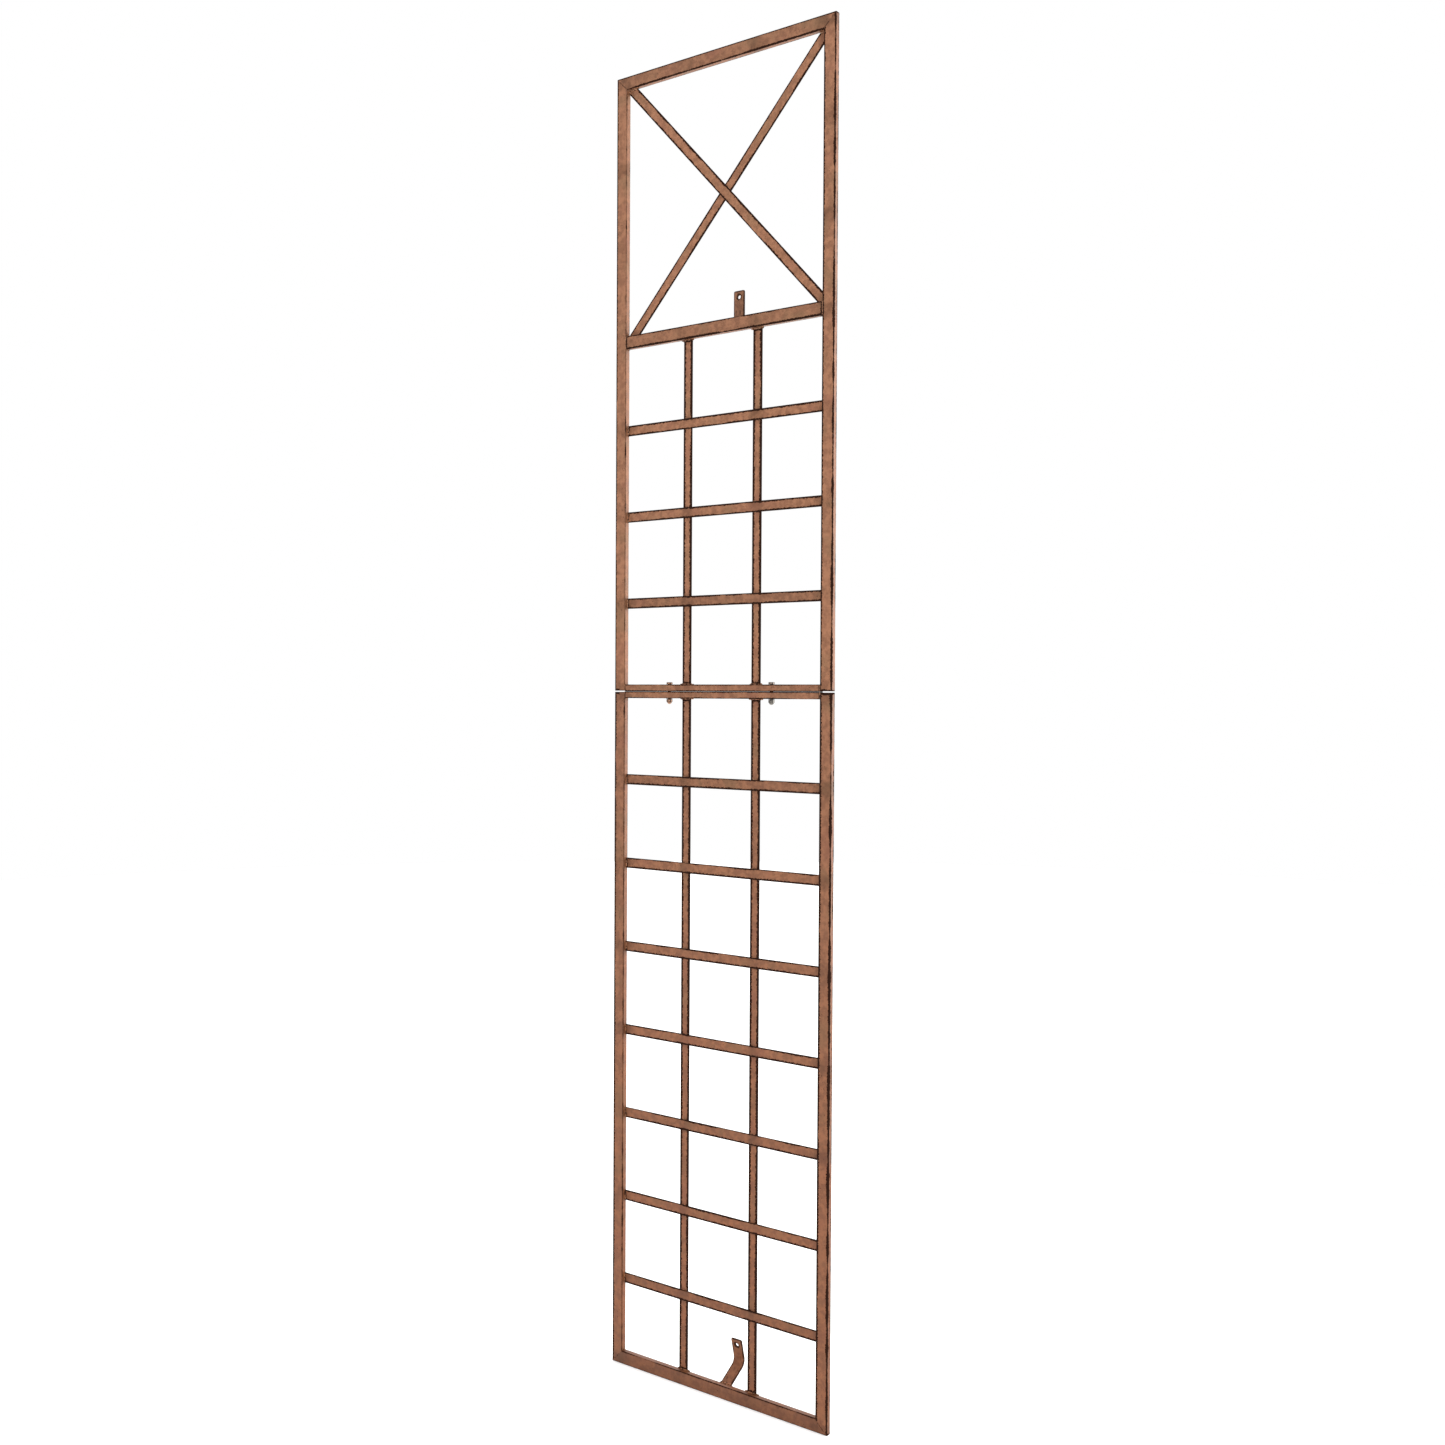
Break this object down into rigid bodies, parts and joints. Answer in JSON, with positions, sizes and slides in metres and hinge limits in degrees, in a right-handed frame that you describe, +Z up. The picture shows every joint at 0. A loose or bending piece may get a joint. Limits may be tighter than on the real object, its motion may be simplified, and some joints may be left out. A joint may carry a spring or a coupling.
{
  "type": "wall trellis",
  "caption": "Flat wall trellis of steel tube and flat bar: two bolted panels with slats and uprights, a square bay with a diagonal cross on top, and wall tabs.",
  "frame": {"origin": "middle of the bottom rail's underside, at mid depth of the frame tube", "axes": "+X to the right seen from the front, +Y back towards the wall, +Z up"},
  "size_m": [0.5, 0.055, 2.5],
  "materials": {
    "antique_copper_paint": "satin antique copper-brown paint with dark patina along the edges",
    "dark_copper_paint": "satin copper-brown paint, darker",
    "copper_painted_fastener": "satin, painted over",
    "zinc_plated_fastener": "dull zinc plating"
  },
  "bodies": {
    "lower_panel": {"lower_left_stile": "antique_copper_paint", "lower_right_stile": "antique_copper_paint", "lower_bottom_rail": "antique_copper_paint", "lower_joint_rail": "antique_copper_paint", "lower_slat_1": "antique_copper_paint", "lower_slat_2": "antique_copper_paint", "lower_slat_3": "antique_copper_paint", "lower_slat_4": "antique_copper_paint", "lower_slat_5": "antique_copper_paint", "lower_slat_6": "antique_copper_paint", "lower_slat_7": "antique_copper_paint", "lower_left_upright": "antique_copper_paint", "lower_right_upright": "antique_copper_paint", "lower_wall_bracket": "dark_copper_paint"},
    "upper_panel": {"upper_left_stile": "antique_copper_paint", "upper_right_stile": "antique_copper_paint", "upper_top_rail": "antique_copper_paint", "upper_mid_rail": "antique_copper_paint", "upper_joint_rail": "antique_copper_paint", "upper_slat_1": "antique_copper_paint", "upper_slat_2": "antique_copper_paint", "upper_slat_3": "antique_copper_paint", "upper_left_upright": "antique_copper_paint", "upper_right_upright": "antique_copper_paint", "upper_falling_brace": "antique_copper_paint", "upper_rising_brace": "antique_copper_paint", "upper_wall_bracket": "dark_copper_paint"},
    "bolt_left": {"joint_bolt_left": "copper_painted_fastener"},
    "bolt_right": {"joint_bolt_right": "zinc_plated_fastener"},
    "washer_left": {"joint_washer_left": "copper_painted_fastener"},
    "washer_right": {"joint_washer_right": "zinc_plated_fastener"},
    "cap_nut_left": {"joint_cap_nut_left": "copper_painted_fastener"},
    "cap_nut_right": {"joint_cap_nut_right": "zinc_plated_fastener"}
  },
  "joints": [
    {"name": "upper_panel_lift", "type": "slide", "parent": "lower_panel", "child": "upper_panel", "axis": [0, 0, 1], "range_m": [0, 0.06]},
    {"name": "bolt_left_withdraw", "type": "slide", "parent": "upper_panel", "child": "bolt_left", "axis": [0, 0, 1], "range_m": [0, 0.045]},
    {"name": "bolt_right_withdraw", "type": "slide", "parent": "upper_panel", "child": "bolt_right", "axis": [0, 0, 1], "range_m": [0, 0.045]},
    {"name": "washer_left_drop", "type": "slide", "parent": "lower_panel", "child": "washer_left", "axis": [0, 0, -1], "range_m": [0, 0.008]},
    {"name": "cap_nut_left_unscrew", "type": "hinge", "parent": "washer_left", "child": "cap_nut_left", "pos_m": [-0.118, 0, 1.30105], "axis": [0, 0, -1], "range_deg": [0, 2880]},
    {"name": "washer_right_drop", "type": "slide", "parent": "lower_panel", "child": "washer_right", "axis": [0, 0, -1], "range_m": [0, 0.008]},
    {"name": "cap_nut_right_unscrew", "type": "hinge", "parent": "washer_right", "child": "cap_nut_right", "pos_m": [0.118, 0, 1.30105], "axis": [0, 0, -1], "range_deg": [0, 2880]}
  ],
  "couplings": [
    {"joint": "cap_nut_left_unscrew", "follows": "washer_left_drop", "rad_per_m": 6283.2},
    {"joint": "cap_nut_right_unscrew", "follows": "washer_right_drop", "rad_per_m": 6283.2}
  ]
}
